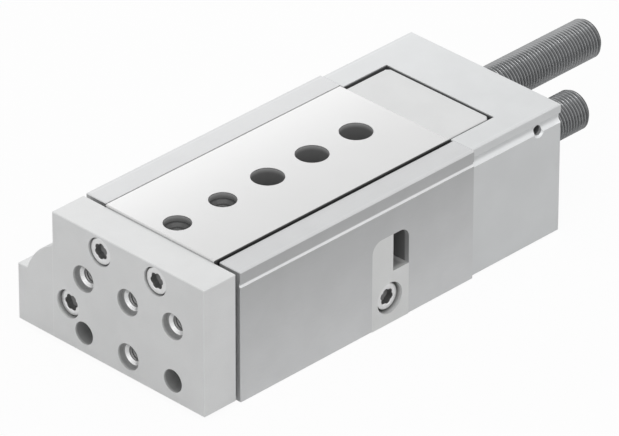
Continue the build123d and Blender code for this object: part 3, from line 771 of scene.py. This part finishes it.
# %% Screws at points, each turned at random about its axis
screws, given, result = start_group(
    "screws_at_points", "GeometryNodeTree",
    [("Points", "NodeSocketGeometry", None), ("Direction", "NodeSocketVector", (0, 0, 1)),
     ("Head", "NodeSocketObject", None), ("Length", "NodeSocketFloat", 16 * mm),
     ("Seed", "NodeSocketInt", 1), ("Finish", "NodeSocketMaterial", None),
     ("Socket Finish", "NodeSocketMaterial", None)],
    [("Mesh", "NodeSocketGeometry")])
head = add(screws, "GeometryNodeObjectInfo", {"Object": given["Head"]})
shank = add(screws, "GeometryNodeGroup", {"Length": given["Length"], **screw_thread},
            node_tree=thread)
downwards = add(screws, "ShaderNodeCombineXYZ",
                {2: calculate(screws, "MULTIPLY", given["Length"], -1.0)})
lowered = add(screws, "GeometryNodeTransform",
              {"Geometry": shank.outputs[0], "Translation": downwards.outputs[0]})
whole = add(screws, "GeometryNodeJoinGeometry")
screws.links.new(head.outputs["Geometry"], whole.inputs[0])
screws.links.new(lowered.outputs[0], whole.inputs[0])
chance = add(screws, "FunctionNodeRandomValue", {"Seed": given["Seed"]}, data_type="FLOAT")
spin = calculate(screws, "MULTIPLY", chance.outputs[1], 2 * math.pi / lobes)
about = add(screws, "FunctionNodeAxisAngleToRotation", {"Axis": (0, 0, 1), "Angle": spin})
plated = copies_at_points(screws, given, whole.outputs[0], about.outputs[0])
marked = add(screws, "GeometryNodeInputNamedAttribute", {"Name": "socket"}, data_type="BOOLEAN")
darkened = add(screws, "GeometryNodeSetMaterial",
               {"Geometry": plated, "Selection": marked.outputs[0],
                "Material": given["Socket Finish"]})
screws.links.new(darkened.outputs[0], result["Mesh"])
print("screws take", len(screws.nodes), "nodes")


# %% [markdown]
# Where do the screws go? Each screw of the frame is one island of connected faces in its
# node, so walking from face to face finds them all, and the end of the island that lies
# towards the head gives the seat. A set hands out its vertices in another order on every run,
# so the islands are sorted by place: then each screw draws the same turn every time.

# %% Find the screws of a node
def islands(node):
    """Low and high corner of every island of a node's mesh, sorted by the low one."""
    mesh = welded_copy(node)
    waiting = set(mesh.verts)
    found = []
    while waiting:
        front = [waiting.pop()]
        island = []
        while front:
            vertex = front.pop()
            island.append(vertex.co.copy())
            for edge in vertex.link_edges:
                other = edge.other_vert(vertex)
                if other in waiting:
                    waiting.remove(other)
                    front.append(other)
        low = Vector([min(point[axis] for point in island) for axis in range(3)])
        high = Vector([max(point[axis] for point in island) for axis in range(3)])
        found.append((low, high))
    mesh.free()
    return sorted(found, key=lambda corners: [round(value / weld) for value in corners[0]])


# %% Set the detailed screws of one node
# The sockets get a darker finish than the heads, as painted shade inside each socket.
socket_shade_steel = finish("shaded_socket", (0.32, 0.32, 0.32), 0.8, 0.35, 0.05 * mm, contrast=0.15)


def set_screws(node, direction, body, seed):
    """Lobed screws in the place of a node's plain ones, with their heads in a direction."""
    axis = Vector(direction)
    seats = []
    for low, high in islands(node):
        reach = abs((high - low).dot(axis)) / 2
        seats.append((low + high) / 2 + axis * (reach - head_height))
    # The screws of a node are alike, so the last one gives the size of all.
    length = 2 * reach - head_height
    head_width = next(value for value, part in zip(high - low, axis) if abs(part) < 0.5)
    pattern = bpy.data.meshes.new("screw_pattern")
    shape = lobed_screw(head_width / 2, length)
    shape.to_mesh(pattern)
    shape.free()
    model = bpy.data.objects.new("screw_pattern", pattern)
    bpy.context.collection.objects.link(model)
    piece = grow(f"lobed_{node}", screws, seats, {
        "Direction": axis, "Head": model, "Length": length, "Seed": seed,
        "Finish": small["screw_steel"], "Socket Finish": socket_shade_steel})
    bpy.data.objects.remove(model)
    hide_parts(node)
    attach(piece, body)
    print(node, "has", len(seats), "screws", round(length / mm, 1), "mm long")


# %% Set the detailed screws
set_screws("yoke_screws", (1, 0, 0), "slide_body", 3)
set_screws("rod_screw", (1, 0, 0), "slide_body", 5)
set_screws("end_block_screws", (-1, 0, 0), "slide_body", 7)
set_screws("rear_block_screws", (-1, 0, 0), "housing_body", 11)
set_screws("stop_clamp_screw", (0, 1, 0), "housing_body", 13)

# %% [markdown]
# The studio is a pale floor under large soft lamps. A product picture has no visible horizon
# and almost no shadow, so the floor shows the camera mostly plain white and keeps a small
# share of its real shading, which leaves a faint contact shadow.

# %% Floor
floor_reach = 3.0
floor_drop = 0.05 * mm
floor_mesh = bpy.data.meshes.new("floor")
corners = [(x * floor_reach, y * floor_reach, 0) for x, y in ((-1, -1), (1, -1), (1, 1), (-1, 1))]
floor_mesh.from_pydata(corners, [], [(0, 1, 2, 3)])
floor = bpy.data.objects.new("floor", floor_mesh)
floor.location.z = -floor_drop
bpy.context.collection.objects.link(floor)
print("floor is", 2 * floor_reach, "m wide")

# %% Paper of the floor
floor_white = 0.95
floor_shade = 0.06
paper_roughness = 0.9
paper = bpy.data.materials.new("studio_paper")
paper.use_nodes = True
tree = paper.node_tree
sheet = tree.nodes["Principled BSDF"]
sheet.inputs["Base Color"].default_value = (floor_white, floor_white, floor_white, 1)
sheet.inputs["Roughness"].default_value = paper_roughness
glow = add(tree, "ShaderNodeEmission", {"Color": (1, 1, 1, 1), "Strength": 1.0})
seen = add(tree, "ShaderNodeLightPath").outputs["Is Camera Ray"]
share = calculate(tree, "MULTIPLY", seen, 1 - floor_shade)
both = add(tree, "ShaderNodeMixShader", {0: share, 1: sheet.outputs[0], 2: glow.outputs[0]})
tree.links.new(both.outputs[0], tree.nodes["Material Output"].inputs["Surface"])
floor_mesh.materials.append(paper)

# %% [markdown]
# The world is plain white to the camera and in reflections, and weaker as a light, so that
# the lamps can shape the faces. The main lamp is a large soft box high above, which lights
# every top more than the sides. Two narrow strips stand behind the object, as the camera
# sees it: polished metal mirrors what is behind it, so they reach the slide and the threads.

# %% World
ambient = 0.51
world = bpy.data.worlds.new("studio")
bpy.context.scene.world = world
world.use_nodes = True
tree = world.node_tree
rays = add(tree, "ShaderNodeLightPath").outputs
direct = fold(tree, "MAXIMUM", [rays[f"Is {kind} Ray"] for kind in ("Camera", "Glossy", "Transmission")])
backdrop = tree.nodes["Background"].inputs
tree.links.new(ramp(tree, direct, 0.0, 1.0, ambient, 1.0), backdrop["Strength"])
backdrop["Color"].default_value = (1, 1, 1, 1)
print("world has strength", ambient, "as a light and 1.0 in mirrors")


# %% Lamps
def lamp(name, place, width, height, power, towards=aim):
    """Soft box at a place in the studio, turned towards the object or another point."""
    data = bpy.data.lights.new(name, "AREA")
    data.shape = "RECTANGLE"
    data.size = width
    data.size_y = height
    data.energy = power
    made = bpy.data.objects.new(name, data)
    bpy.context.collection.objects.link(made)
    made.location = place
    made.rotation_euler = (made.location - Vector(towards)).to_track_quat("Z", "Y").to_euler()
    print(name, "gives", power, "W from", round(made.location.length, 2), "m")


lamp("top_box", (0.28, 0.40, 1.22), 2.0, 2.0, 6.6)
lamp("back_strip", (-0.09, -0.156, 0.137), 0.32, 0.03, 0.025, towards=(-0.09, 0, 0.03))
lamp("thread_strip", (-0.39, -0.065, 0.41), 0.25, 0.04, 0.12)

# %% View transform
bpy.context.scene.view_settings.view_transform = "Standard"
